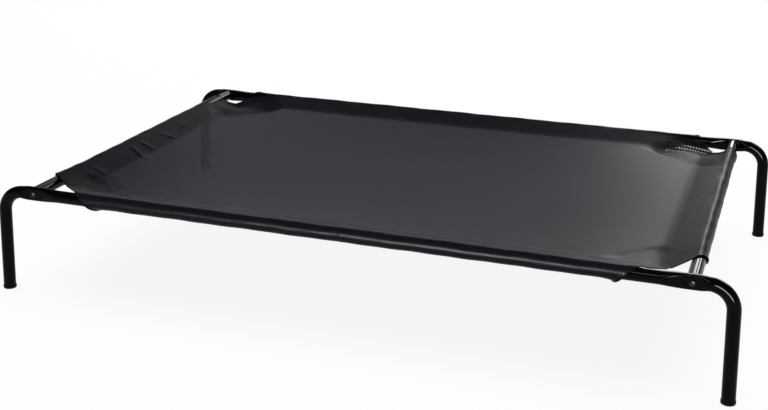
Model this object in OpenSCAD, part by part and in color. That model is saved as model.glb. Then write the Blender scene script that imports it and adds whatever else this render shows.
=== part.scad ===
// Raised dog cot: a bolted black steel tube frame that carries a stretched sheet of woven mesh.
// Millimetres. X runs along the long side, Y from front to back, Z up. The feet stand on Z = 0.

/* [Frame] */
// Length over the legs at the floor
cot_length = 1300; // [1000:10:1400]
// Width over the legs
cot_width = 800; // [500:10:900]
// Height of the side rails' top line above the floor
cot_height = 200; // [160:5:300]
// Outside diameter of all tubes
tube_od = 22; // [20:0.5:24]
// Wall thickness of all tubes
tube_wall = 1; // [0.8:0.1:1.5]
// Centre-line radius of the bend from rail to leg
bend_radius = 40; // [34:1:44]
// Slant of the legs outwards, degrees
leg_splay = 2.4; // [0:0.2:4]
// Distance from the leg's axis below the bend to the cross bar's axis
bar_inset = 63; // [60:1:100]

/* [Bolted joints] */
// Thickness of the rail where it is pressed flat for the bolt
flat_thickness = 12; // [10:0.5:15]
// Height that the rail grows to there
flat_height = 25; // [24.5:0.25:27]
// Length of the flat along the rail
flat_length = 20; // [14:1:24]
// Length of the change from flat back to round, on the sheet's side
flat_taper = 40; // [25:1:45]
// Nominal diameter of the joint bolts
bolt_d = 6; // [5:0.5:7]
// Length of the bolt under its head
bolt_length = 35; // [28:1:38]
// Length of the threaded plugs in the cross bars
plug_length = 26; // [26:1:40]

/* [Rail joint] */
// Length of the narrowed spigot in the middle of each side rail
spigot_length = 60; // [30:1:90]

/* [Feet] */
// Height of the foot cap's flange below the tube
foot_height = 6; // [4:0.5:12]
// How far the foot cap's flange stands out around the tube
foot_lip = 0.75; // [0.5:0.25:2]

/* [Sheet] */
// Width of the folded hems, measured from the tube's axis
hem_width = 56; // [45:1:70]
// Thickness of each layer of cloth
cloth_thickness = 1; // [0.8:0.1:1.5]
// Slant of the hems down towards the middle, degrees
hem_slope = 15; // [6:1:20]
// Further sag of the panel from the hems to its middle
panel_sag = 16; // [6:1:24]
// Distance along each tube from the corner of the tube axes to the corner cut
corner_cut = 78; // [74:1:100]

/* [Hidden] */
$fn = 96;

// Clearances: tube over its neighbour, cloth round a tube, and cloth beside cloth
slip_fit = 0.1;
cloth_fit = 0.3;
cloth_gap = 0.4;

// How far a cut runs past the face it opens
past_end = 1;

// Tubes
tube_r = tube_od / 2;
bore_r = tube_r - tube_wall;
rail_y = cot_width / 2 - tube_r;
rail_z = cot_height - tube_r;
foot_x = cot_length / 2 - tube_r;
spigot_r = bore_r - slip_fit;

// Straight part of the leg: where it leaves the bend, and its height down to the foot cap
bend_drop = bend_radius * (1 - sin(leg_splay));
leg_drop = rail_z - bend_drop - foot_height;
leg_x = foot_x - leg_drop * tan(leg_splay);
bend_x = leg_x - bend_radius * cos(leg_splay);
bar_x = leg_x - bar_inset;

// Pressed flat: where the flat lies along the rail, and how far outside the tube the pressing starts
flat_from = bar_x - flat_length / 2;
flat_to = bar_x + flat_length / 2;
round_x = flat_from - flat_taper;
press_ease = 0.6;

// Fine edge that the pressing leaves over the start of the bend
press_lap = 0.5;
press_edge = 0.1;

// Leg as it leaves the bend, with the extra length that its level cut takes off
leg_spare = foot_height / 2;
leg_length = leg_drop / cos(leg_splay) + leg_spare;

// Cross bars butt against the flats
bar_half = rail_y - flat_thickness / 2;

// Bolts
bolt_play = 0.25;
bolt_hole_r = bolt_d / 2 + bolt_play;
bolt_head_r = bolt_d * 0.95;
bolt_head_h = bolt_d * 0.55;
hex_key = bolt_d * 2 / 3;
hex_depth = bolt_head_h * 0.6;
head_dome_r = (bolt_head_r * bolt_head_r + bolt_head_h * bolt_head_h) / (2 * bolt_head_h);
thread_fit = 0.05;

// Foot caps
foot_r = tube_r + foot_lip;
foot_round = foot_height / 3;
stem_length = 22;
stem_r = bore_r - slip_fit;
stem_ridge = 0.5;
stem_ridge_step = 6;
stem_wall = 2;
stem_root = foot_height / 3;

// Sleeves: a drop-shaped pocket round the tube that closes at the hem seam
pocket_in_r = tube_r + cloth_fit;
pocket_out_r = pocket_in_r + cloth_thickness;
pocket_overlap = 0.2;
seam_length = 10;
seam_overlap = 1;
seam_opening = 0.1;
pocket_reach = hem_width - seam_length;
sleeve_shift = cloth_gap / 2;
sleeve_room = 2 * tube_r;

// Where the sloping hems end, seen from above and from the side
hem_line = pocket_out_r - pocket_overlap;
hem_reach = hem_width * cos(hem_slope) + hem_line * sin(hem_slope);
hem_drop = hem_width * sin(hem_slope) - hem_line * cos(hem_slope);

// Panel inside the hems
panel_half_x = bar_x - hem_reach - cloth_gap;
panel_half_y = rail_y - hem_reach - cloth_gap;
panel_top = rail_z - hem_drop;
panel_cols = 24;
panel_rows = 16;
panel_crown = 3;

// Corners: name, side of X, side of Y
CORNERS = [
    ["front_left", -1, -1],
    ["front_right", 1, -1],
    ["back_left", -1, 1],
    ["back_right", 1, 1]
];
SIDES = [["front", -1], ["back", 1]];
ENDS = [["left", -1], ["right", 1]];

// Colours
black_coat = [0.03, 0.03, 0.035];
zinc = [0.55, 0.56, 0.58];
black_plastic = [0.06, 0.06, 0.065];
mesh_grey = [0.17, 0.17, 0.18];
hem_grey = [0.12, 0.12, 0.13];

// Moves a piece drawn at the right back corner to any corner
module at_corner(x_side, y_side) {
    mirror([x_side < 0 ? 1 : 0, 0, 0])
        mirror([0, y_side < 0 ? 1 : 0, 0])
            children();
}

// Turns an outline so that its first axis is Y and its second is Z, and draws it out along X
module along_x(from, to) {
    translate([from, 0, 0])
        rotate([90, 0, 90])
            linear_extrude(to - from)
                children();
}

// Round rod along X that changes from one radius to another
module cone_x(from, from_r, to, to_r) {
    translate([from, 0, 0])
        rotate([0, 90, 0])
            cylinder(r1 = from_r, r2 = to_r, h = to - from);
}

// What the press takes off one side of the rod, kept in by the wall for its inside
module pressed_side(inset) {
    start_y = tube_r + press_ease - inset;
    flat_y = flat_thickness / 2 - inset;
    translate([0, 0, -tube_od])
        linear_extrude(2 * tube_od)
            polygon([
                [round_x, start_y],
                [flat_from, flat_y],
                [flat_to, flat_y],
                [bend_x, start_y],
                [bend_x, 2 * tube_od],
                [round_x, 2 * tube_od]
            ]);
}

// Rail, bend and leg as one solid rod, kept in by the wall for its inside, in the rail's own frame
module rail_rod(inset, inner_x) {
    rod_r = tube_r - inset;
    tall_r = flat_height / 2 - inset;
    difference() {
        union() {
            along_x(inner_x, round_x)
                circle(rod_r);
            cone_x(round_x, rod_r, flat_from, tall_r);
            along_x(flat_from, flat_to)
                circle(tall_r);
            cone_x(flat_to, tall_r, bend_x + press_lap, rod_r + press_edge);
        }
        pressed_side(inset);
        mirror([0, 1, 0])
            pressed_side(inset);
    }
    translate([bend_x, 0, -bend_radius])
        rotate([0, -leg_splay, 0]) {
            rotate([90, 0, 0])
                rotate_extrude(angle = 90 - leg_splay)
                    translate([bend_radius, 0])
                        circle(rod_r);
            translate([bend_radius, 0, -leg_length])
                cylinder(r = rod_r, h = leg_length);
        }
}

// Half of a side rail with its leg, drawn at the right back corner
module rail(has_spigot) {
    color(black_coat)
        translate([0, rail_y, rail_z])
            difference() {
                union() {
                    rail_rod(0, 0);
                    if (has_spigot)
                        along_x(-spigot_length, tube_wall)
                            circle(spigot_r);
                }
                rail_rod(tube_wall, has_spigot ? tube_wall : -past_end);
                translate([foot_x - tube_od, -tube_od, foot_height - rail_z - 2 * leg_spare])
                    cube([2 * tube_od, 2 * tube_od, 2 * leg_spare]);
                if (has_spigot)
                    along_x(-spigot_length - past_end, 2 * tube_wall)
                        circle(spigot_r - tube_wall);
                translate([bar_x, 0, 0])
                    rotate([90, 0, 0])
                        cylinder(r = bolt_hole_r, h = 2 * flat_thickness, center = true);
            }
}

// Straight tube between the flats of the front and back rails
module cross_bar() {
    color(black_coat)
        translate([bar_x, 0, rail_z])
            rotate([90, 0, 0])
                difference() {
                    cylinder(r = tube_r, h = 2 * bar_half, center = true);
                    cylinder(r = bore_r, h = 2 * (bar_half + past_end), center = true);
                }
}

// Threaded plug, flush with the end of the cross bar
module plug() {
    color(zinc)
        translate([bar_x, bar_half, rail_z])
            rotate([90, 0, 0])
                difference() {
                    cylinder(r = bore_r - thread_fit, h = plug_length);
                    translate([0, 0, -past_end])
                        cylinder(r = bolt_d / 2 + thread_fit, h = plug_length + 2 * past_end);
                }
}

// Button-head bolt with a hexagon socket, its head on the outside of the flat
module bolt() {
    color(black_coat)
        translate([bar_x, rail_y + flat_thickness / 2, rail_z])
            rotate([90, 0, 0])
                difference() {
                    union() {
                        cylinder(r = bolt_d / 2, h = bolt_length);
                        intersection() {
                            translate([0, 0, -bolt_head_h])
                                cylinder(r = bolt_head_r, h = bolt_head_h);
                            translate([0, 0, head_dome_r - bolt_head_h])
                                sphere(r = head_dome_r);
                        }
                    }
                    translate([0, 0, -bolt_head_h])
                        cylinder(d = hex_key / cos(30), h = 2 * hex_depth, center = true, $fn = 6);
                }
}

// Turns a piece from the foot's axis to the slanting leg, at a height along it above the flange
module along_leg(height) {
    translate([0, 0, foot_height])
        rotate([0, -leg_splay, 0])
            translate([0, 0, height])
                children();
}

// Foot cap: level rounded flange under the tube and a hollow ridged stem along the leg inside it
module foot() {
    ridge_base = stem_r - stem_ridge;
    color(black_plastic)
        translate([foot_x, rail_y, 0])
            difference() {
                union() {
                    rotate_extrude() {
                        square([foot_r - foot_round, foot_height]);
                        translate([0, foot_round])
                            square([foot_r, foot_height - foot_round]);
                        translate([foot_r - foot_round, foot_round])
                            circle(foot_round);
                    }
                    along_leg(-stem_root)
                        cylinder(r = ridge_base, h = stem_root + stem_length);
                    for (ridge = [1:3])
                        along_leg(ridge * stem_ridge_step - stem_ridge)
                            cylinder(r = stem_r, h = 2 * stem_ridge);
                }
                along_leg(0)
                    cylinder(r = ridge_base - stem_wall, h = stem_length + past_end);
            }
}

// Where a straight line from point p touches the underside of a circle round the origin
function lower_touch(p, radius) =
    let (turn = atan2(p.y, p.x) - acos(radius / norm(p)))
    radius * [cos(turn), sin(turn)];

// Drop-shaped bar along a tube: round the tube, then narrowing to an edge of the given height
module drop_bar(radius, edge_height, half) {
    line = radius - pocket_overlap;
    edge = [pocket_reach, line - edge_height];
    along_x(-half, half)
        circle(radius);
    along_x(-half, half)
        polygon([[0, 0], [0, line], [pocket_reach, line], edge, lower_touch(edge, line)]);
}

// Pocket and hem along a tube: two layers of cloth, sewn together where the hem ends
module folded_hem(half) {
    rotate([-hem_slope, 0, 0])
        difference() {
            union() {
                drop_bar(pocket_out_r, 2 * cloth_thickness, half);
                along_x(-half, half)
                    translate([pocket_reach - seam_overlap, hem_line - 2 * cloth_thickness])
                        square([seam_length + seam_overlap, 2 * cloth_thickness]);
            }
            drop_bar(pocket_in_r, seam_opening, half + past_end);
        }
}

// Plan of a sleeve on a tube of the given half length: slanted ends, then mitres to its neighbours
module sleeve_plan(half) {
    end = half - sleeve_shift;
    hem_end = hem_reach + cloth_gap;
    polygon([
        [end - corner_cut - sleeve_room, -sleeve_room],
        [end - corner_cut / 2, corner_cut / 2],
        [end - hem_end, hem_end],
        [hem_end - end, hem_end],
        [corner_cut / 2 - end, corner_cut / 2],
        [corner_cut + sleeve_room - end, -sleeve_room]
    ]);
}

// Folded hem round a tube along X with the sheet towards +Y
module sleeve(half) {
    color(hem_grey)
        translate([0, 0, rail_z])
            intersection() {
                folded_hem(half);
                translate([0, 0, -sleeve_room])
                    linear_extrude(2 * sleeve_room)
                        sleeve_plan(half);
            }
}

module side_sleeve(y_side) {
    rotate(y_side < 0 ? 0 : 180)
        translate([0, -rail_y, 0])
            sleeve(bar_x);
}

module end_sleeve(x_side) {
    rotate(x_side < 0 ? -90 : 90)
        translate([0, -bar_x, 0])
            sleeve(rail_y);
}

// Depth of the panel below its edge, deepest in the middle
function sag_at(u, v) = panel_sag * (1 - pow(abs(u), panel_crown)) * (1 - pow(abs(v), panel_crown));

// Point of the panel's grid on its top or bottom face
function panel_point(col, row, depth) =
    let (u = 2 * col / panel_cols - 1, v = 2 * row / panel_rows - 1)
    [u * panel_half_x, v * panel_half_y, panel_top - sag_at(u, v) - depth];

// Single layer of mesh between the hems, sagging towards its middle
module mesh_panel() {
    across = panel_cols + 1;
    layer = across * (panel_rows + 1);
    points = [
        for (depth = [0, cloth_thickness], row = [0:panel_rows], col = [0:panel_cols])
            panel_point(col, row, depth)
    ];
    cells = [for (row = [0:panel_rows - 1], col = [0:panel_cols - 1]) row * across + col];
    last_row = panel_rows * across;
    color(mesh_grey)
        polyhedron(points, concat(
            [for (i = cells) each [[i, i + across, i + 1], [i + 1, i + across, i + across + 1]]],
            [for (i = cells) let (k = i + layer)
                each [[k, k + 1, k + across], [k + 1, k + across + 1, k + across]]],
            [for (i = [0:panel_cols - 1]) [i, i + 1, i + 1 + layer, i + layer]],
            [for (j = [0:panel_cols - 1]) let (i = last_row + j) [i + 1, i, i + layer, i + 1 + layer]],
            [for (row = [0:panel_rows - 1]) let (i = row * across)
                [i + across, i, i + layer, i + across + layer]],
            [for (row = [0:panel_rows - 1]) let (i = row * across + panel_cols)
                [i, i + across, i + across + layer, i + layer]]
        ));
}

for (c = CORNERS) {
    at_corner(c[1], c[2]) rail(c[1] < 0);
    at_corner(c[1], c[2]) plug();
    at_corner(c[1], c[2]) bolt();
    at_corner(c[1], c[2]) foot();
}
for (e = ENDS) {
    at_corner(e[1], 1) cross_bar();
    end_sleeve(e[1]);
}
for (s = SIDES)
    side_sleeve(s[1]);
mesh_panel();
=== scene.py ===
import math
from collections import namedtuple

import bpy
import numpy as np
from mathutils import Matrix, Quaternion, Vector


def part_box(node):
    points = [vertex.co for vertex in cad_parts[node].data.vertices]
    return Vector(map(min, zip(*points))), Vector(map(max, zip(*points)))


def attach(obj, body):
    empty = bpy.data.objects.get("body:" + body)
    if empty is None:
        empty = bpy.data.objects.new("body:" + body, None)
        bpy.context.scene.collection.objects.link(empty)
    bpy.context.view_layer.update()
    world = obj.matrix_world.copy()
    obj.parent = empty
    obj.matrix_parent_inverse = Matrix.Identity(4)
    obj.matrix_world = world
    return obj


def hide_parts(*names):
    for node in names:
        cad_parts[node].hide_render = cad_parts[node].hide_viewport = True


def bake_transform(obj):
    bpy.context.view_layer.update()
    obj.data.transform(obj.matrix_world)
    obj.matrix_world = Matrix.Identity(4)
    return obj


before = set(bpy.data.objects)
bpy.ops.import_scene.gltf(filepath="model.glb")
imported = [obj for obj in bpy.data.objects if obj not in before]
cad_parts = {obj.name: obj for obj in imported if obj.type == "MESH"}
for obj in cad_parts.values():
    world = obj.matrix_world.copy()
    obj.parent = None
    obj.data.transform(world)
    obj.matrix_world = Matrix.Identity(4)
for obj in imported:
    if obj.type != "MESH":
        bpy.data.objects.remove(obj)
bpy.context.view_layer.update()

MM = 0.001


# Sizes of the steel frame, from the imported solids

def box_mm(node):
    """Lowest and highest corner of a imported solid, in millimetres."""
    low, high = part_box(node)
    return np.array(low) / MM, np.array(high) / MM


bar_low, bar_high = box_mm("right_cross_bar")
rail_low, rail_high = box_mm("back_right_rail")
foot_low, foot_high = box_mm("back_right_foot")
tube_r = (bar_high[0] - bar_low[0]) / 2
bar_x = (bar_high[0] + bar_low[0]) / 2
rail_y = (rail_high[1] + rail_low[1]) / 2
rail_z = (bar_high[2] + bar_low[2]) / 2
foot_x = (foot_high[0] + foot_low[0]) / 2
leg_end = rail_low[2]
flat_half = rail_y - bar_high[1]
flat_tall = rail_high[2] - rail_z

# Half the gap at the joint of the two rail halves, and how far the last ring lies from a tube's cut end
HALF_JOINT_GAP = 0.3
CUT_EDGE = 1.0

# Pressing of a rail for its bolt: half length of the flat, length over which the round tube goes over
# into it, how far it runs out into the bend, and what it adds to the power of 2 of an elliptic section
FLAT_HALF_LENGTH = 9.0
FLAT_RISE = 44.0
FLAT_RUN_OUT = 4.0
FLAT_SQUARENESS = 1.6

# Slanting legs: where the bend starts and where the straight leg leaves it
BEND_RADIUS = 40.0
LEG_SPLAY = math.radians(2.4)
leg_drop = rail_z - BEND_RADIUS * (1 - math.sin(LEG_SPLAY)) - leg_end
leg_x = foot_x - leg_drop * math.tan(LEG_SPLAY)
bend_x = leg_x - BEND_RADIUS * math.cos(LEG_SPLAY)

# Fineness of the tubes
TUBE_FACETS = 40
PLAIN_RINGS = 4
PRESSED_STEP = 3.0
BEND_RINGS = 31

# Sheet: thickness of the cloth, width and slope of the hems, sag and crown of the panel, and how softly
# hems and panel run into each other and corners and folds run out
CLOTH = 0.9
HEM = 57.0
HEM_RISE = math.tan(math.radians(15))
PANEL_SAG = 16.0
PANEL_CROWN = 2.2
SEAM_EASE = 4.0
CORNER_EASE = 4.0
CORNER_FADE = 60.0
FOLD_FADE = 0.25

# Fineness of the sheet; a point within SAME_LINE of a line lies on it
CELL = 4.0
SAME_LINE = CELL / 4
SLEEVE_STEP = 3.0

# Sleeves: radius round the tube, angle at which the cloth turns back under the hem, edge tucked below the
# panel, how much faster the lower layer climbs than it goes inwards, and where swell and lift end
SLEEVE_R = tube_r + 1.3
UNDER_ANGLE = math.radians(195)
HEM_TUCK = 2.0
TUCK_DROP = 1.3 * CLOTH
UNDER_CLIMB = 1.12
SWELL_REACH = 14.0
LIFT_ANGLE = math.radians(60)

# Ripples of a sleeve: height, run along the tube, run round it, and shift with the side's turn
SLEEVE_RIPPLES = ((0.25, 23.0, 7.0, 0.0), (0.2, 9.5, -11.0, 1.3))

# Ends of a sleeve: flare of the rim, and lobe that hangs below the tube
FLARE = 1.2
FLARE_LENGTH = 9.0
FLARE_GROWTH = 20.0
LOBE = 2.2
LOBE_LENGTH = 14.0
LOBE_FROM = 22.0
LOBE_GROWTH = 16.0

# Thicker front end of the left sleeve, and bulge of the front sleeve near its rail's joint
LEFT_STEP = 1.2
LEFT_STEP_AT = 237.0
LEFT_STEP_EASE = 2.0
FRONT_BULGE = 0.35
FRONT_BULGE_AT = 13.6
FRONT_BULGE_LENGTH = 4.0

# Seams: two rows of stitches that dip into the cloth, and an overlocked edge
SEAM_ROWS = (48.0, 54.0)
SEAM_DIP = 0.1
SEAM_DIP_WIDTH = 1.5
STITCH_PITCH = 4.6
STITCH_LENGTH = 3.4
STITCH_ARCH = np.array((-0.5, -0.2, -0.15, -0.2, -0.5))
STITCH_TAPER = np.array((0.6, 1, 1, 1, 0.6))
THREAD_R = 0.3
THREAD_FACETS = 6
EDGE_R = 0.9

# From here to the right, the layers of the back right corner lie askew
ASKEW_FROM = 440.0

# Half size of the panel, where the hem's slope leaves the circle round the tube, and that slope's height
# over the tube's axis
panel_x = bar_x - HEM
panel_y = rail_y - HEM
leave_angle = math.atan(HEM_RISE)
leave_b = SLEEVE_R * math.sin(leave_angle)
leave_z = rail_z + SLEEVE_R * math.cos(leave_angle)
sheet_top = rail_z + SLEEVE_R / math.cos(leave_angle)

# Corners of the sheet, by side of X and side of Y: length cut off along the rail and along the cross bar,
# reach of the cloth folded under there, added along both tubes, and droop of the free edge
Corner = namedtuple("Corner", "cut_rail cut_bar fold_reach droop")
CORNERS = {
    (-1, -1): Corner(84.0, 76.0, 194.0, -5.0),
    (1, -1): Corner(79.0, 79.0, 202.0, 2.0),
    (-1, 1): Corner(74.0, 58.0, 210.0, 14.0),
    (1, 1): Corner(70.0, 70.0, 218.0, 14.0),
}

# Folds that the pull of the sheet leaves: start, end, depth, width on the right and on the left of the run.
# They lie at the corners, then across the left hem, then across the two long hems.
FOLDS = (
    ((-536, 217), (-402, 335), 9.0, 9.0, 52.0),
    ((-515, 196), (-523, 244), 1.2, 6.0, 6.0),
    ((400, 328), (562, 198), 9.0, 8.0, 52.0),
    ((-518, -247), (-430, -331), 2.0, 40.0, 12.0),
    ((430, -331), (518, -247), 2.0, 40.0, 12.0),
    ((-433, -339), (-400, -350), 1.2, 4.0, 6.0),
    ((-552, -88), (-495, -126), -1.3, 3.0, 9.0),
    ((-555, -54), (-506, -67), -1.2, 3.0, 9.0),
    ((-546, 18), (-508, 23), -1.1, 3.0, 9.0),
    ((-556, 109), (-526, 92), -0.7, 3.0, 9.0),
    ((-552, -232), (-512, -244), -1.0, 3.0, 9.0),
    ((-552, -253), (-486, -286), -0.8, 7.0, 14.0),
    ((-330, -365), (-250, -318), 0.7, 7.0, 10.0),
    ((310, -362), (390, -300), 0.8, 8.0, 12.0),
    ((-150, 360), (-80, 318), 0.6, 7.0, 10.0),
)

# Sides of the sheet: name, turn in degrees, tube axis from the middle, half length between the other axes
Side = namedtuple("Side", "name turn axis half")
SIDES = (
    Side("front", 0, rail_y, bar_x),
    Side("right", 90, bar_x, rail_y),
    Side("back", 180, rail_y, bar_x),
    Side("left", -90, bar_x, rail_y),
)
RAIL_SIDES = ("front", "back")


# Materials

# Scale at which a wave texture has one band in each unit of length
ONE_BAND = math.pi / 10


def linear(hex_colour):
    """sRGB hex to the linear colour that a shader takes."""
    parts = [int(hex_colour[i:i + 2], 16) / 255 for i in (1, 3, 5)]
    return tuple(c / 12.92 if c <= 0.04045 else ((c + 0.055) / 1.055) ** 2.4 for c in parts) + (1.0,)


def add_node(tree, kind, settings=None, links=None):
    """Adds a node, sets its properties and plain inputs, and links other inputs to their sources."""
    node = tree.nodes.new(kind)
    for name, value in (settings or {}).items():
        if isinstance(name, str) and hasattr(node, name):
            setattr(node, name, value)
        else:
            node.inputs[name].default_value = value
    for name, source in (links or {}).items():
        tree.links.new(source, node.inputs[name])
    return node


def new_material(name):
    material = bpy.data.materials.new(name)
    material.use_nodes = True
    material.node_tree.nodes.clear()
    return material, material.node_tree


def powder_coated_steel():
    """Baked black powder coat: deep gloss black with a faint orange-peel ripple and fine dull patches."""
    material, tree = new_material("powder_coated_steel")
    peel_mm = 2.5
    handling_mm = 55
    spot = add_node(tree, "ShaderNodeTexCoord").outputs["Object"]
    peel = add_node(tree, "ShaderNodeTexNoise", {"Scale": 1 / (peel_mm * MM), "Detail": 2.0},
                    {"Vector": spot})
    handling = add_node(tree, "ShaderNodeTexNoise", {"Scale": 1 / (handling_mm * MM), "Detail": 5.0},
                        {"Vector": spot})
    gloss = add_node(tree, "ShaderNodeMapRange",
                     {"From Min": 0.35, "From Max": 0.7, "To Min": 0.06, "To Max": 0.12},
                     {"Value": handling.outputs["Fac"]})
    shade = add_node(tree, "ShaderNodeValToRGB", links={"Fac": handling.outputs["Fac"]})
    shade.color_ramp.elements[0].color = linear("#040404")
    shade.color_ramp.elements[1].color = linear("#080809")
    ripple = add_node(tree, "ShaderNodeBump", {"Strength": 0.12, "Distance": 0.0002},
                      {"Height": peel.outputs["Fac"]})
    surface = add_node(tree, "ShaderNodeBsdfPrincipled",
                       {"Specular IOR Level": 0.06, "Specular Tint": linear("#f9f1ff")},
                       {"Base Color": shade.outputs["Color"], "Roughness": gloss.outputs["Result"],
                        "Normal": ripple.outputs["Normal"]})
    add_node(tree, "ShaderNodeOutputMaterial", links={"Surface": surface.outputs["BSDF"]})
    return material


def black_oxide_steel():
    """Blackened machine-screw steel: dark, satin, rubbed brighter in patches."""
    material, tree = new_material("black_oxide_steel")
    rub_mm = 2.2
    spot = add_node(tree, "ShaderNodeTexCoord").outputs["Object"]
    rub = add_node(tree, "ShaderNodeTexNoise", {"Scale": 1 / (rub_mm * MM), "Detail": 4.0},
                   {"Vector": spot})
    shade = add_node(tree, "ShaderNodeValToRGB", links={"Fac": rub.outputs["Fac"]})
    shade.color_ramp.elements[0].color = linear("#161617")
    shade.color_ramp.elements[1].color = linear("#38383a")
    satin = add_node(tree, "ShaderNodeMapRange", {"To Min": 0.25, "To Max": 0.42},
                     {"Value": rub.outputs["Fac"]})
    surface = add_node(tree, "ShaderNodeBsdfPrincipled", {"Metallic": 1.0},
                       {"Base Color": shade.outputs["Color"], "Roughness": satin.outputs["Result"]})
    add_node(tree, "ShaderNodeOutputMaterial", links={"Surface": surface.outputs["BSDF"]})
    return material


def zinc_plated_steel():
    """Turned and zinc-plated insert: pale grey metal with fine turning lines across its axis."""
    material, tree = new_material("zinc_plated_steel")
    turning_mm = 0.6
    spot = add_node(tree, "ShaderNodeTexCoord").outputs["Object"]
    lines = add_node(tree, "ShaderNodeTexWave",
                     {"bands_direction": "Y", "Scale": ONE_BAND / (turning_mm * MM), "Distortion": 1.0},
                     {"Vector": spot})
    shade = add_node(tree, "ShaderNodeValToRGB", links={"Fac": lines.outputs["Fac"]})
    shade.color_ramp.elements[0].color = linear("#a9acae")
    shade.color_ramp.elements[1].color = linear("#c6c8c9")
    surface = add_node(tree, "ShaderNodeBsdfPrincipled", {"Metallic": 1.0, "Roughness": 0.35},
                       {"Base Color": shade.outputs["Color"]})
    add_node(tree, "ShaderNodeOutputMaterial", links={"Surface": surface.outputs["BSDF"]})
    return material


def moulded_polypropylene():
    """Injection-moulded foot cap: matt black plastic with a fine spark-eroded grain, scuffed paler."""
    material, tree = new_material("moulded_polypropylene")
    grain_mm = 0.8
    scuff_mm = 8
    spot = add_node(tree, "ShaderNodeTexCoord").outputs["Object"]
    grain = add_node(tree, "ShaderNodeTexNoise", {"Scale": 1 / (grain_mm * MM), "Detail": 3.0},
                     {"Vector": spot})
    scuff = add_node(tree, "ShaderNodeTexNoise", {"Scale": 1 / (scuff_mm * MM), "Detail": 6.0},
                     {"Vector": spot})
    shade = add_node(tree, "ShaderNodeValToRGB", links={"Fac": scuff.outputs["Fac"]})
    shade.color_ramp.elements[0].position = 0.4
    shade.color_ramp.elements[0].color = linear("#0a0a0b")
    shade.color_ramp.elements[1].color = linear("#161617")
    rough = add_node(tree, "ShaderNodeMapRange", {"To Min": 0.5, "To Max": 0.7},
                     {"Value": scuff.outputs["Fac"]})
    relief = add_node(tree, "ShaderNodeBump", {"Strength": 0.3, "Distance": 0.0002},
                      {"Height": grain.outputs["Fac"]})
    surface = add_node(tree, "ShaderNodeBsdfPrincipled", {"Specular IOR Level": 0.1},
                       {"Base Color": shade.outputs["Color"], "Roughness": rough.outputs["Result"],
                        "Normal": relief.outputs["Normal"]})
    add_node(tree, "ShaderNodeOutputMaterial", links={"Surface": surface.outputs["BSDF"]})
    return material


def woven_vinyl_mesh(name, valley_painted_shade, crest, solid, dull, waxy, glint=0.0):
    """Plain-woven mesh of vinyl-coated polyester yarn: waxy crests, gaps between the yarns darkened with
    painted shade, and a faint see-through.

    The yarns are about 1.2 mm apart, which is too fine for the render, so they are drawn at 3 mm.
    solid is the opacity, and dull and waxy are the roughness of the gaps and of the crests.
    glint is the see-through of the spots where the holes of two layers that lie askew come together.
    """
    material, tree = new_material(name)
    yarn_mm = 3.0
    stain_mm = 85
    spot = add_node(tree, "ShaderNodeAttribute", {"attribute_name": "cloth_mm"}).outputs["Vector"]
    band = ONE_BAND / yarn_mm
    warp = add_node(tree, "ShaderNodeTexWave", {"bands_direction": "X", "Scale": band}, {"Vector": spot})
    weft = add_node(tree, "ShaderNodeTexWave", {"bands_direction": "Y", "Scale": band}, {"Vector": spot})
    over = add_node(tree, "ShaderNodeTexChecker", {"Scale": 1 / yarn_mm}, {"Vector": spot})
    weave = add_node(tree, "ShaderNodeMix", {"data_type": "FLOAT"},
                     {"Factor": over.outputs["Fac"], "A": warp.outputs["Fac"], "B": weft.outputs["Fac"]})
    stain = add_node(tree, "ShaderNodeTexNoise", {"Scale": 1 / stain_mm, "Detail": 5.0}, {"Vector": spot})
    mixed = add_node(tree, "ShaderNodeMath", {"operation": "ADD"},
                     {0: weave.outputs["Result"], 1: stain.outputs["Fac"]})
    height = add_node(tree, "ShaderNodeMapRange",
                      {"From Min": -0.35, "From Max": 1.6, "To Min": 0.0, "To Max": 1.0},
                      {"Value": mixed.outputs[0]})
    # Colour runs from valley to crest with the weave's height: painted shade in the gaps between the yarns,
    # with a random stain tone mixed in.
    shade = add_node(tree, "ShaderNodeValToRGB", links={"Fac": height.outputs["Result"]})
    shade.color_ramp.elements[0].color = linear(valley_painted_shade)
    shade.color_ramp.elements[1].color = linear(crest)
    wax = add_node(tree, "ShaderNodeMapRange", {"To Min": dull, "To Max": waxy},
                   {"Value": weave.outputs["Result"]})
    relief = add_node(tree, "ShaderNodeBump", {"Strength": 0.3, "Distance": 0.0004},
                      {"Height": weave.outputs["Result"]})
    surface = add_node(tree, "ShaderNodeBsdfPrincipled",
                       {"Specular IOR Level": 0.06, "Specular Tint": linear("#f9f1ff"), "Alpha": solid},
                       {"Base Color": shade.outputs["Color"], "Roughness": wax.outputs["Result"],
                        "Normal": relief.outputs["Normal"]})
    if glint:
        tree.links.new(cover_of_askew_layers(tree, spot, solid, glint), surface.inputs["Alpha"])
    add_node(tree, "ShaderNodeOutputMaterial", links={"Surface": surface.outputs["BSDF"]})
    return material


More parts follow.
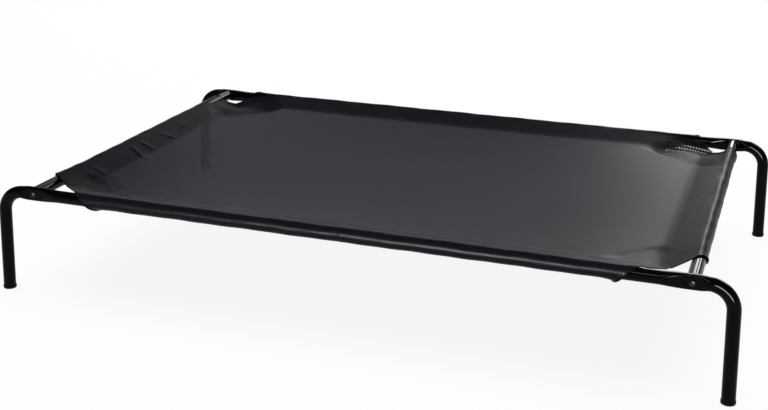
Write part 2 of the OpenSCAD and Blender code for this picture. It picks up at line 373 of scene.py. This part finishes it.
def cover_of_askew_layers(tree, spot, solid, glint):
    """Opacity with uneven rows of see-through spots by the back seam, where the holes of two layers meet.

    The spots come from both weaves together, so they lie further apart than the yarns.
    """
    spot_mm = 5.6
    row_mm = 14.0
    reach_mm = 70.0
    waves = [add_node(tree, "ShaderNodeTexWave",
                      {"bands_direction": way, "Scale": ONE_BAND / size, "Distortion": 1.6},
                      {"Vector": spot}).outputs["Fac"] for way, size in (("X", spot_mm), ("Y", row_mm))]
    spots = add_node(tree, "ShaderNodeMath", {"operation": "MULTIPLY"}, {0: waves[0], 1: waves[1]})
    inward = add_node(tree, "ShaderNodeSeparateXYZ", links={"Vector": spot})
    by_seam = add_node(tree, "ShaderNodeMapRange", {"From Min": panel_y - reach_mm, "From Max": panel_y},
                       {"Value": inward.outputs["Y"]})
    shown = add_node(tree, "ShaderNodeMath", {"operation": "MULTIPLY"},
                     {0: spots.outputs[0], 1: by_seam.outputs["Result"]})
    return add_node(tree, "ShaderNodeMapRange",
                    {"From Min": 0.3, "From Max": 0.55, "To Min": solid, "To Max": solid - glint},
                    {"Value": shown.outputs[0]}).outputs["Result"]


def bonded_polyester_thread():
    """Twisted and bonded sewing thread: dull black with a slanting twist along each stitch."""
    material, tree = new_material("bonded_polyester_thread")
    twist_mm = 0.7
    spot = add_node(tree, "ShaderNodeTexCoord").outputs["Object"]
    twist = add_node(tree, "ShaderNodeTexWave",
                     {"bands_direction": "DIAGONAL", "Scale": ONE_BAND / (twist_mm * MM)},
                     {"Vector": spot})
    shade = add_node(tree, "ShaderNodeValToRGB", links={"Fac": twist.outputs["Fac"]})
    shade.color_ramp.elements[0].color = linear("#0e0d10")
    shade.color_ramp.elements[1].color = linear("#1a191d")
    relief = add_node(tree, "ShaderNodeBump", {"Strength": 0.4, "Distance": 0.0001},
                      {"Height": twist.outputs["Fac"]})
    surface = add_node(tree, "ShaderNodeBsdfPrincipled", {"Roughness": 0.6, "Specular IOR Level": 0.06},
                       {"Base Color": shade.outputs["Color"], "Normal": relief.outputs["Normal"]})
    add_node(tree, "ShaderNodeOutputMaterial", links={"Surface": surface.outputs["BSDF"]})
    return material


tube_coat = powder_coated_steel()
bolt_coat = black_oxide_steel()
plug_steel = zinc_plated_steel()
foot_plastic = moulded_polypropylene()
mesh_cloth = woven_vinyl_mesh("woven_vinyl_mesh", "#131017", "#201b27",
                              solid=0.9, dull=0.42, waxy=0.32)
# The doubled and askew copies take darker colours than the panel's: painted shade for the light that the
# second layer holds back.
doubled_cloth_painted_shade = woven_vinyl_mesh("woven_vinyl_mesh_doubled_painted_shade", "#0d0b10", "#18151d",
                             solid=0.97, dull=0.4, waxy=0.3)
askew_cloth_painted_shade = woven_vinyl_mesh("woven_vinyl_mesh_askew_painted_shade", "#0d0b10", "#18151d",
                               solid=0.97, dull=0.4, waxy=0.3, glint=0.62)
thread = bonded_polyester_thread()


# Shape of the sheet

def soft_min(a, b, ease):
    """The lesser of two distances, rounded over where they meet."""
    return -ease * np.logaddexp(-a / ease, -b / ease)


def smooth_step(share):
    """0 to 1, level at both ends."""
    share = np.clip(share, 0, 1)
    return share * share * (3 - 2 * share)


def fold_dip(x, y, start, end, depth, right_width, left_width):
    """A fold along a straight run, with its own width on each side, that fades out at both ends."""
    run = np.subtract(end, start)
    length = np.hypot(*run)
    along = ((x - start[0]) * run[0] + (y - start[1]) * run[1]) / length ** 2
    aside = ((x - start[0]) * run[1] - (y - start[1]) * run[0]) / length
    fade = smooth_step(np.minimum(along, 1 - along) / FOLD_FADE)
    width = np.where(aside > 0, right_width, left_width)
    return depth * fade * np.exp(-(aside / width) ** 2)


def corner_drop(x, y, from_bar, from_rail):
    """Droop of the free edges at the cut-off corners: full on the diagonal and none at the tubes."""
    across = from_bar + from_rail
    drop = 0
    for (x_side, y_side), corner in CORNERS.items():
        here = (x * x_side >= 0) & (y * y_side >= 0)
        from_cut = across - (corner.cut_rail + corner.cut_bar) / 2
        slack = 4 * from_bar * from_rail / across ** 2 * np.exp(-(from_cut / CORNER_FADE) ** 2)
        drop = drop + here * corner.droop * slack
    return drop


def sheet_height(x, y):
    """Top face of the cloth anywhere between the tube axes."""
    from_bar = bar_x - np.abs(x)
    from_rail = rail_y - np.abs(y)
    inward = soft_min(from_bar, from_rail, CORNER_EASE)
    drop = HEM_RISE * soft_min(inward, HEM, SEAM_EASE) + corner_drop(x, y, from_bar, from_rail)
    u = np.clip(np.abs(x) / panel_x, 0, 1)
    v = np.clip(np.abs(y) / panel_y, 0, 1)
    drop = drop + PANEL_SAG * (1 - u ** PANEL_CROWN) * (1 - v ** PANEL_CROWN)
    for fold in FOLDS:
        drop = drop + fold_dip(x, y, *fold)
    from_tube = np.minimum(from_bar, from_rail)
    for row in SEAM_ROWS:
        drop = drop + SEAM_DIP * np.exp(-((from_tube - row) / SEAM_DIP_WIDTH) ** 2)
    return sheet_top - drop


def place(side, a, b):
    """Plan position of a point a along a side's tube and b inwards from the tube's axis."""
    turn = math.radians(side.turn)
    return (a * math.cos(turn) - (b - side.axis) * math.sin(turn),
            a * math.sin(turn) + (b - side.axis) * math.cos(turn))


def corner_at(x, y):
    """The corner in whose quarter of the plan a point lies."""
    return CORNERS[(1 if x > 0 else -1, 1 if y > 0 else -1)]


# Making of meshes

def new_object(name, points, faces, material):
    mesh = bpy.data.meshes.new(name)
    mesh.from_pydata((np.asarray(points) * MM).tolist(), [], faces)
    mesh.polygons.foreach_set("use_smooth", [True] * len(mesh.polygons))
    mesh.materials.append(material)
    mesh.update()
    piece = bpy.data.objects.new(name, mesh)
    bpy.context.scene.collection.objects.link(piece)
    return piece


def new_cloth(name, points, flat_points, faces, material, has_rim):
    """A layer of cloth whose outer face is the mesh given; flat_points lay out its weave."""
    piece = new_object(name, points, faces, material)
    weave = piece.data.attributes.new("cloth_mm", "FLOAT_VECTOR", "POINT")
    weave.data.foreach_set("vector", np.asarray(flat_points, np.float32).ravel())
    layer = piece.modifiers.new("cloth_thickness", "SOLIDIFY")
    layer.thickness = CLOTH * MM
    layer.offset = -1
    layer.use_rim = has_rim
    return piece


def grid_faces(rows, columns):
    """Four-sided faces between points that are numbered row by row."""
    return [(r * columns + c, r * columns + c + 1, (r + 1) * columns + c + 1, (r + 1) * columns + c)
            for r in range(rows - 1) for c in range(columns - 1)]


def ring_faces(rings, sides):
    """Faces of a tube from its rings of points, with its two end faces last."""
    faces = []
    for ring in range(rings - 1):
        here, there = ring * sides, (ring + 1) * sides
        for i in range(sides):
            j = (i + 1) % sides
            faces.append((here + i, here + j, there + j, there + i))
    faces.append(tuple(reversed(range(sides))))
    faces.append(tuple(range((rings - 1) * sides, rings * sides)))
    return faces


def swept(points, radii, sides, first_index=0):
    """A closed round strand along points, as vertices and faces numbered from first_index."""
    points = np.asarray(points, float)
    ahead = np.gradient(points, axis=0)
    ahead /= np.linalg.norm(ahead, axis=1)[:, None]
    is_upright = abs(ahead[0][2]) >= 0.9
    across = np.cross(ahead[0], (1, 0, 0) if is_upright else (0, 0, 1))
    turns = 2 * math.pi * np.arange(sides) / sides
    rings = []
    for point, direction, radius in zip(points, ahead, radii):
        across = across - direction * across.dot(direction)
        across = across / np.linalg.norm(across)
        upward = np.cross(direction, across)
        rings.append(point + radius * (np.outer(np.cos(turns), across) + np.outer(np.sin(turns), upward)))
    faces = ring_faces(len(rings), sides)
    return np.concatenate(rings), [tuple(first_index + i for i in face) for face in faces]


# Panel: one cloth, made as four sectors that each run from their own hem to the middle

def grid_lines(half):
    """Even lines across the panel: whole cells near both edges, and nearly whole ones between them."""
    edge = np.arange(0, panel_y + CELL / 2, CELL) - half
    middle = half - panel_y
    if middle < CELL / 2:
        return np.concatenate([edge, -edge[-2::-1]])
    between = np.linspace(-middle, middle, int(round(2 * middle / CELL)) + 1)
    return np.concatenate([edge, between[1:-1], -edge[::-1]])


def fold_spare(x, y):
    """How far a point lies inside the cloth folded under at its corner; negative outside it."""
    return corner_at(x, y).fold_reach - (bar_x - abs(x)) - (rail_y - abs(y))


def panel_faces(corners, points):
    """A grid cell as one face, or as two where the sectors meet or where a doubled corner ends."""
    p, q, r, s = corners
    x, y = points[list(corners), :2].mean(0)
    rising, falling = [(p, q, r), (p, r, s)], [(p, q, s), (q, r, s)]
    if abs((panel_x - abs(x)) - (panel_y - abs(y))) < SAME_LINE:
        return rising if x * y > 0 else falling
    if abs(fold_spare(x, y)) < SAME_LINE:
        return falling if x * y > 0 else rising
    return [corners]


def panel_sectors():
    """Points of a square grid over the panel, and its faces sorted to the side whose hem is nearest."""
    x, y = np.meshgrid(grid_lines(panel_x), grid_lines(panel_y))
    points = np.stack([x.ravel(), y.ravel(), sheet_height(x, y).ravel()], 1)
    sectors = {side.name: [] for side in SIDES}
    for corners in grid_faces(*x.shape):
        for face in panel_faces(corners, points):
            mx, my = points[list(face), :2].mean(0)
            if panel_y - abs(my) < panel_x - abs(mx):
                sectors["front" if my < 0 else "back"].append(face)
            else:
                sectors["left" if mx < 0 else "right"].append(face)
    return points, sectors


def double_corners(piece, points, faces):
    """Gives the cloth folded under at the corners its second layer and the darker doubled material, whose
    darker colour is painted shade.

    At the back right corner the two layers lie askew.
    """
    layer = piece.modifiers["cloth_thickness"]
    doubled = piece.vertex_groups.new(name="doubled")
    inside = [i for i, (x, y, _) in enumerate(points) if fold_spare(x, y) > -SAME_LINE]
    doubled.add(inside, 1.0, "REPLACE")
    layer.vertex_group = doubled.name
    layer.thickness = 2 * CLOTH * MM
    layer.thickness_vertex_group = 0.5
    piece.data.materials.append(doubled_cloth_painted_shade)
    piece.data.materials.append(askew_cloth_painted_shade)
    for face, polygon in zip(faces, piece.data.polygons):
        x, y = points[list(face), :2].mean(0)
        if fold_spare(x, y) > 0:
            polygon.material_index = 2 if x > ASKEW_FROM and y > 0 else 1


def make_panel():
    """The panel's four sectors, doubled at the corners."""
    points, sectors = panel_sectors()
    for side in SIDES:
        name = side.name
        used = np.unique(np.concatenate([np.array(face) for face in sectors[name]]))
        number = {old: new for new, old in enumerate(used)}
        faces = [tuple(number[i] for i in face) for face in sectors[name]]
        piece = new_cloth(f"mesh_panel_{name}", points[used], points[used] * (1, 1, 0), faces,
                          mesh_cloth, has_rim=False)
        double_corners(piece, points[used], faces)
        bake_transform(piece)
        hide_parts("mesh_panel")


# Sleeves: the sheet's edge goes round the tube and back under itself to the hem seam

def hem_row(side, a, b, swell):
    """Row of the hem's upper layer, b inwards from the tube's axis; a row past the hem is tucked in."""
    inward = np.full(len(a), b)
    z = sheet_height(*place(side, a, inward)) + swell * np.clip(1 - b / SWELL_REACH, 0, 1)
    if b > HEM:
        z = z - TUCK_DROP
    return inward, z


def tube_row(side, a, angle, swell):
    """Row of the cloth round the tube, at an angle from its top, lifted where the sheet comes in high."""
    sheet_z = sheet_height(*place(side, a, np.full(len(a), leave_b)))
    lift = np.maximum(sheet_z - leave_z, 0)
    radius = SLEEVE_R + swell + lift * np.clip(1 - angle / LIFT_ANGLE, 0, 1)
    return -radius * math.sin(angle), rail_z + radius * math.cos(angle)


def under_row(side, a, share, swell):
    """Row of the hem's lower layer, at a share of its way from the tube back to the seam."""
    b, z = tube_row(side, a, UNDER_ANGLE, swell)
    seam_z = sheet_height(*place(side, a, np.full(len(a), HEM))) - 2 * CLOTH
    return b + (HEM - b) * share, z + (seam_z - z) * np.minimum(1, share * UNDER_CLIMB)


# Row of a sleeve: the cloth's own length s from the tube's top line, negative towards the panel,
# the function that shapes the row, and the value that places it there
Row = namedtuple("Row", "s shape value")


def sleeve_rows():
    """Rows of a sleeve from the panel's edge over the tube and back to the seam."""
    seam_zone, seam_step, hem_step = 12.0, 1.5, 4.0
    round_count, under_count = 22, 11
    hem_places = [HEM + HEM_TUCK]
    hem_places += list(np.arange(HEM, HEM - seam_zone, -seam_step))
    hem_places += list(np.arange(HEM - seam_zone, leave_b, -hem_step))
    rows = [Row(-b, hem_row, b) for b in hem_places]
    for angle in np.linspace(-leave_angle, UNDER_ANGLE, round_count):
        rows.append(Row(angle * SLEEVE_R, tube_row, angle))
    start = UNDER_ANGLE * SLEEVE_R
    length = math.hypot(HEM, SLEEVE_R)
    for share in np.linspace(0, 1, under_count)[1:]:
        rows.append(Row(start + share * length, under_row, share))
    return rows


def side_cuts(side):
    """Lengths cut off along a side's own tube and along the neighbour's, at its two ends."""
    cuts = []
    for end in (-1, 1):
        corner = corner_at(*place(side, end * side.half, 0))
        if side.name in RAIL_SIDES:
            cuts.append((corner.cut_rail, corner.cut_bar))
        else:
            cuts.append((corner.cut_bar, corner.cut_rail))
    return cuts


def end_distance(s, own_cut, other_cut):
    """Distance from the corner of the tube axes to the sleeve's end, for cloth at s."""
    return max(-s, own_cut * (1 + s / other_cut))


def sleeve_swell(side, a, s, to_end):
    """How far the cloth stands off the tube: ripples, a flared rim and a hanging lobe at each end."""
    swell = 0
    for height, along, around, shift in SLEEVE_RIPPLES:
        swell = swell + height * np.sin(a / along + s / around + shift * side.turn)
    on_tube = np.clip((s + FLARE_GROWTH) / FLARE_GROWTH, 0, 1)
    below_tube = np.clip((s - LOBE_FROM) / LOBE_GROWTH, 0, 1)
    swell = swell + FLARE * on_tube * np.exp(-to_end / FLARE_LENGTH)
    swell = swell + LOBE * below_tube * np.exp(-to_end / LOBE_LENGTH)
    if side.name == "left":
        swell = swell + LEFT_STEP / (1 + np.exp((LEFT_STEP_AT - a) / LEFT_STEP_EASE)) * on_tube
    if side.name == "front":
        swell = swell + FRONT_BULGE * np.exp(-((a - FRONT_BULGE_AT) / FRONT_BULGE_LENGTH) ** 2) * on_tube
    return swell


def sleeve_grid(side, rows):
    """Points of a sleeve and of its weave laid flat, row by row."""
    columns = int(round(2 * (side.half - HEM) / SLEEVE_STEP)) + 1
    share = np.linspace(0, 1, columns)
    start_cut, end_cut = side_cuts(side)
    grid, flat = [], []
    for row in rows:
        first = end_distance(row.s, *start_cut) - side.half
        last = side.half - end_distance(row.s, *end_cut)
        a = first + (last - first) * share
        swell = sleeve_swell(side, a, row.s, np.minimum(a - first, last - a))
        b, z = row.shape(side, a, row.value, swell)
        grid.append(np.stack([*place(side, a, b), z], 1))
        flat.append(np.stack([*place(side, a, np.full(columns, -row.s)), np.zeros(columns)], 1))
    return np.array(grid), np.array(flat)


def show_askew_end(piece, flat_points, faces):
    """Gives the right end of the back sleeve the look of the askew corner below it."""
    piece.data.materials.append(askew_cloth_painted_shade)
    for face, polygon in zip(faces, piece.data.polygons):
        if flat_points[list(face), 0].mean() > ASKEW_FROM:
            polygon.material_index = 1


def make_sleeve(side, rows):
    """One sleeve with its weave laid out flat, and the points of its rows."""
    name = side.name
    grid, flat = sleeve_grid(side, rows)
    flat_points = flat.reshape(-1, 3)
    faces = [tuple(reversed(face)) for face in grid_faces(*grid.shape[:2])]
    piece = new_cloth(f"{name}_sleeve_cloth", grid.reshape(-1, 3), flat_points, faces,
                      doubled_cloth_painted_shade, has_rim=True)
    if name == "back":
        show_askew_end(piece, flat_points, faces)
    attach(piece, "frame")
    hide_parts(f"{name}_sleeve")
    return piece, grid


# Thread: two rows of stitches along each hem seam and an overlocked edge round each cut end

def stitch_strands(side):
    """Paths and radii of the stitches on a hem seam, above and below the cloth."""
    knots = len(STITCH_ARCH)
    radii = THREAD_R * STITCH_TAPER
    strands = []
    for row in SEAM_ROWS:
        count = int(2 * (side.half - row) / STITCH_PITCH)
        for middle in (np.arange(count) - (count - 1) / 2) * STITCH_PITCH:
            a = middle + np.linspace(-0.5, 0.5, knots) * STITCH_LENGTH
            x, y = place(side, a, np.full(knots, row))
            z = sheet_height(x, y)
            strands.append((np.stack([x, y, z + STITCH_ARCH], 1), radii))
            strands.append((np.stack([x, y, z - 2 * CLOTH - STITCH_ARCH], 1), radii))
    return strands


def edge_strands(side, grid, rows):
    """Paths and radii of the overlocked edges at the two ends of a sleeve."""
    strands = []
    for column, cuts in zip((0, -1), side_cuts(side)):
        first = next(i for i, row in enumerate(rows) if end_distance(row.s, *cuts) > -row.s)
        path = grid[first:, column]
        strands.append((path - (0, 0, CLOTH / 2), np.full(len(path), EDGE_R)))
    return strands


def make_thread(side, grid, rows):
    """All stitches and overlocked edges of one hem as one piece."""
    vertices, faces, count = [], [], 0
    for path, radii in stitch_strands(side) + edge_strands(side, grid, rows):
        points, strand_faces = swept(path, radii, THREAD_FACETS, count)
        vertices.append(points)
        faces += strand_faces
        count += len(points)
    piece = new_object(f"{side.name}_hem_thread", np.concatenate(vertices), faces, thread)
    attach(piece, "frame")


# Tubes: rails pressed flat for the bolt and bent down into the leg, and straight cross bars

def flatten_caps(piece):
    """Shades a tube's two cut ends, its last two polygons, flat."""
    for cap in (-2, -1):
        piece.data.polygons[len(piece.data.polygons) + cap].use_smooth = False


def rail_stations():
    """Middle, outward axis and pressing of the tube's cross-sections from the rail's joint to the foot."""
    flat_start = bar_x - FLAT_HALF_LENGTH
    rise_start = flat_start - FLAT_RISE
    run_out = bend_x + FLAT_RUN_OUT - bar_x - FLAT_HALF_LENGTH
    stations = []
    plain = np.linspace(HALF_JOINT_GAP + CUT_EDGE, rise_start, PLAIN_RINGS)
    for x in [HALF_JOINT_GAP, *plain, *np.arange(rise_start + PRESSED_STEP, bend_x, PRESSED_STEP)]:
        pressed = min(smooth_step((x - rise_start) / FLAT_RISE),
                      smooth_step((bend_x + FLAT_RUN_OUT - x) / run_out))
        stations.append((np.array((x, 0, rail_z)), np.array((0, 0, 1.0)), pressed))
    for angle in np.linspace(0, math.pi / 2 - LEG_SPLAY, BEND_RINGS):
        out = np.array((math.sin(angle), 0, math.cos(angle)))
        middle = np.array((bend_x, 0, rail_z - BEND_RADIUS)) + BEND_RADIUS * out
        stations.append((middle, out, smooth_step((FLAT_RUN_OUT - BEND_RADIUS * angle) / run_out)))
    leg_top, leg_out, _ = stations[-1]
    down = np.array((math.sin(LEG_SPLAY), 0, -math.cos(LEG_SPLAY)))
    leg = leg_drop / math.cos(LEG_SPLAY)
    for reach in (leg / 2, leg - CUT_EDGE, leg):
        stations.append((leg_top + down * reach, leg_out, 0.0))
    return stations


def squared_off(wave, power):
    """A sine or cosine for a section between an ellipse and a box."""
    return np.sign(wave) * np.abs(wave) ** power


def make_rail(name, x_side, y_side):
    """Half of a side rail with its leg, on the given sides of X and Y."""
    turns = 2 * math.pi * np.arange(TUBE_FACETS) / TUBE_FACETS
    rings = []
    for middle, out, pressed in rail_stations():
        half_wide = tube_r + (flat_half - tube_r) * pressed
        half_tall = tube_r + (flat_tall - tube_r) * pressed
        power = 2 / (2 + FLAT_SQUARENESS * pressed)
        wide = half_wide * squared_off(np.cos(turns), power)
        tall = half_tall * squared_off(np.sin(turns), power)
        rings.append(middle + np.outer(wide, (0, 1, 0)) + np.outer(tall, out))
    spare = rings[-1][:, 2] - leg_end
    rings[-1] = rings[-1] + np.outer(spare, (math.tan(LEG_SPLAY), 0, -1))
    points = (np.concatenate(rings) + (0, rail_y, 0)) * (x_side, y_side, 1)
    faces = ring_faces(len(rings), TUBE_FACETS)
    if x_side * y_side > 0:
        faces = [tuple(reversed(face)) for face in faces]
    piece = new_object(f"{name}_rail_tube", points, faces, tube_coat)
    flatten_caps(piece)
    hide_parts(f"{name}_rail")
    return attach(piece, "frame")


def make_bar(name, x_side):
    """Straight cross bar between the flats of the two rails."""
    half = bar_high[1]
    stations = (-half, CUT_EDGE - half, 0, half - CUT_EDGE, half)
    points, faces = swept([(x_side * bar_x, y, rail_z) for y in stations],
                          np.full(len(stations), tube_r), TUBE_FACETS)
    piece = new_object(f"{name}_bar_tube", points, faces, tube_coat)
    flatten_caps(piece)
    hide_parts(f"{name}_cross_bar")
    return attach(piece, "frame")


# Making of the pieces, with the front sleeve and the steel in collections that lamps of their own can light
cloth_rows = sleeve_rows()
front_cloth = bpy.data.collections.new("front_cloth")
for side in SIDES:
    sleeve, sleeve_points = make_sleeve(side, cloth_rows)
    make_thread(side, sleeve_points, cloth_rows)
    if side.name == "front":
        front_cloth.objects.link(sleeve)
make_panel()
steel = bpy.data.collections.new("tubes_and_bolts")
X_SIDES = (("left", -1), ("right", 1))
Y_SIDES = (("front", -1), ("back", 1))
for y_name, y_side in Y_SIDES:
    for x_name, x_side in X_SIDES:
        steel.objects.link(make_rail(f"{y_name}_{x_name}", x_side, y_side))
for x_name, x_side in X_SIDES:
    steel.objects.link(make_bar(x_name, x_side))

# Materials on the CAD pieces that show as they are
FINISHES = (
    ("_bolt", bolt_coat),
    ("_plug", plug_steel),
    ("_foot", foot_plastic),
)
for node_name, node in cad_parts.items():
    for ending, material in FINISHES:
        if node_name.endswith(ending):
            node.data.materials.clear()
            node.data.materials.append(material)
            if material is bolt_coat:
                steel.objects.link(node)


# Stage, light and camera

def seen_directly(tree):
    """1 for rays that show the floor itself: from the camera, in reflections and through the mesh."""
    path = add_node(tree, "ShaderNodeLightPath")
    mirrored = add_node(tree, "ShaderNodeMath", {"operation": "MAXIMUM"},
                        {0: path.outputs["Is Glossy Ray"], 1: path.outputs["Is Transmission Ray"]})
    return add_node(tree, "ShaderNodeMath", {"operation": "MAXIMUM"},
                    {0: path.outputs["Is Camera Ray"], 1: mirrored.outputs[0]}).outputs[0]


def make_world():
    """White low backdrop all round, falling to a dim grey ceiling."""
    world = bpy.data.worlds.new("white_studio")
    bpy.context.scene.world = world
    world.use_nodes = True
    tree = world.node_tree
    tree.nodes.clear()
    direction = add_node(tree, "ShaderNodeTexCoord")
    upward = add_node(tree, "ShaderNodeSeparateXYZ", links={"Vector": direction.outputs["Generated"]})
    sweep = add_node(tree, "ShaderNodeMapRange",
                     {"From Min": 0.03, "From Max": 0.22, "To Min": 1.0, "To Max": 0.05},
                     {"Value": upward.outputs["Z"]})
    light = add_node(tree, "ShaderNodeBackground", {"Color": linear("#ffffff")},
                     {"Strength": sweep.outputs["Result"]})
    add_node(tree, "ShaderNodeOutputWorld", links={"Surface": light.outputs["Background"]})


def make_floor():
    """White paper sweep: matt and even, with soft shadows.

    Where it is seen directly it is mostly self-bright, so that it stays white.
    """
    material, tree = new_material("white_paper_floor")
    own_light = 0.9
    reach = 30000.0
    paper = add_node(tree, "ShaderNodeBsdfDiffuse", {"Color": linear("#f6f6f6")})
    white = add_node(tree, "ShaderNodeEmission", {"Color": linear("#ffffff"), "Strength": 1.0})
    share = add_node(tree, "ShaderNodeMath", {"operation": "MULTIPLY", 1: own_light},
                     {0: seen_directly(tree)})
    both = add_node(tree, "ShaderNodeMixShader",
                    links={0: share.outputs[0], 1: paper.outputs["BSDF"], 2: white.outputs["Emission"]})
    add_node(tree, "ShaderNodeOutputMaterial", links={"Surface": both.outputs["Shader"]})
    points = [(-reach, -reach, 0), (reach, -reach, 0), (reach, reach, 0), (-reach, reach, 0)]
    new_object("floor", points, [(0, 1, 2, 3)], material)


def ceiling_light(strength, spread):
    """Broad soft light from straight above, which sets the plain level of the scene."""
    lamp = bpy.data.lights.new("ceiling_light", "SUN")
    lamp.energy = strength
    lamp.angle = math.radians(spread)
    light = bpy.data.objects.new("ceiling_light", lamp)
    light.visible_glossy = False
    bpy.context.scene.collection.objects.link(light)


def softbox(name, azimuth, elevation, distance, width, height, power, lean=0.0, gloss_only=False, lit=None):
    """Area lamp that faces the cot; azimuth 0 is straight in front, positive to the right.

    A lamp with a collection given lights only the pieces in it.
    """
    aim_height = 0.15
    lamp = bpy.data.lights.new(name, "AREA")
    lamp.shape = "RECTANGLE"
    lamp.size = width
    lamp.size_y = height
    lamp.energy = power
    box = bpy.data.objects.new(name, lamp)
    turn, lift = math.radians(azimuth), math.radians(elevation)
    toward = Vector((math.sin(turn) * math.cos(lift), -math.cos(turn) * math.cos(lift), math.sin(lift)))
    box.location = toward * distance + Vector((0, 0, aim_height))
    box.rotation_mode = "QUATERNION"
    box.rotation_quaternion = toward.to_track_quat("Z", "Y") @ Quaternion((0, 0, 1), math.radians(lean))
    box.visible_camera = False
    box.visible_diffuse = not gloss_only
    if lit:
        box.light_linking.receiver_collection = lit
    bpy.context.scene.collection.objects.link(box)


def make_camera():
    """Camera at the photograph's viewpoint, found from the frame's corners and feet."""
    position = Vector((0.68532, -2.12958, 0.88449))
    yaw, pitch, roll = (math.radians(d) for d in (-19.045, 19.042, 0.664))
    focal_px, image_width = 1227.33, 768
    ahead = Vector((math.sin(yaw) * math.cos(pitch), math.cos(yaw) * math.cos(pitch), -math.sin(pitch)))
    level = Vector((math.cos(yaw), -math.sin(yaw), 0))
    over = level.cross(ahead)
    right = level * math.cos(roll) + over * math.sin(roll)
    up = over * math.cos(roll) - level * math.sin(roll)
    data = bpy.data.cameras.new("camera")
    data.sensor_fit = "HORIZONTAL"
    data.lens = focal_px / image_width * data.sensor_width
    data.clip_end = 100.0
    camera = bpy.data.objects.new("camera", data)
    axes = Matrix((right, up, -ahead)).transposed()
    camera.matrix_world = Matrix.Translation(position) @ axes.to_4x4()
    bpy.context.scene.collection.objects.link(camera)
    bpy.context.scene.camera = camera


make_world()
make_floor()
ceiling_light(2.7, spread=60)

# Lamps: azimuth and elevation in degrees, distance, width and height in metres, power in watts.
# Two light the sheet; the others only give the gloss streaks on the steel and on the front sleeve.
softbox("back_right_softbox", 174, 20, 4.0, 0.8, 1.0, 22)
softbox("back_left_card", 200, 17, 4.0, 2.0, 0.8, 4.4)
softbox("tube_card", 184, 32, 4.0, 4.0, 1.6, 50, gloss_only=True, lit=steel)
softbox("tube_strip", 150, 22, 4.0, 1.2, 0.8, 45, gloss_only=True, lit=steel)
softbox("front_strip", -14, 40, 3.4, 2.2, 0.3, 50, gloss_only=True, lit=steel)
softbox("sleeve_strip", -8, 9, 3.4, 0.2, 0.2, 330, gloss_only=True, lit=front_cloth)
softbox("right_strip", 30, 8, 2.8, 0.55, 1.4, 190, lean=45, gloss_only=True, lit=steel)
make_camera()
bpy.context.scene.view_settings.view_transform = "Standard"
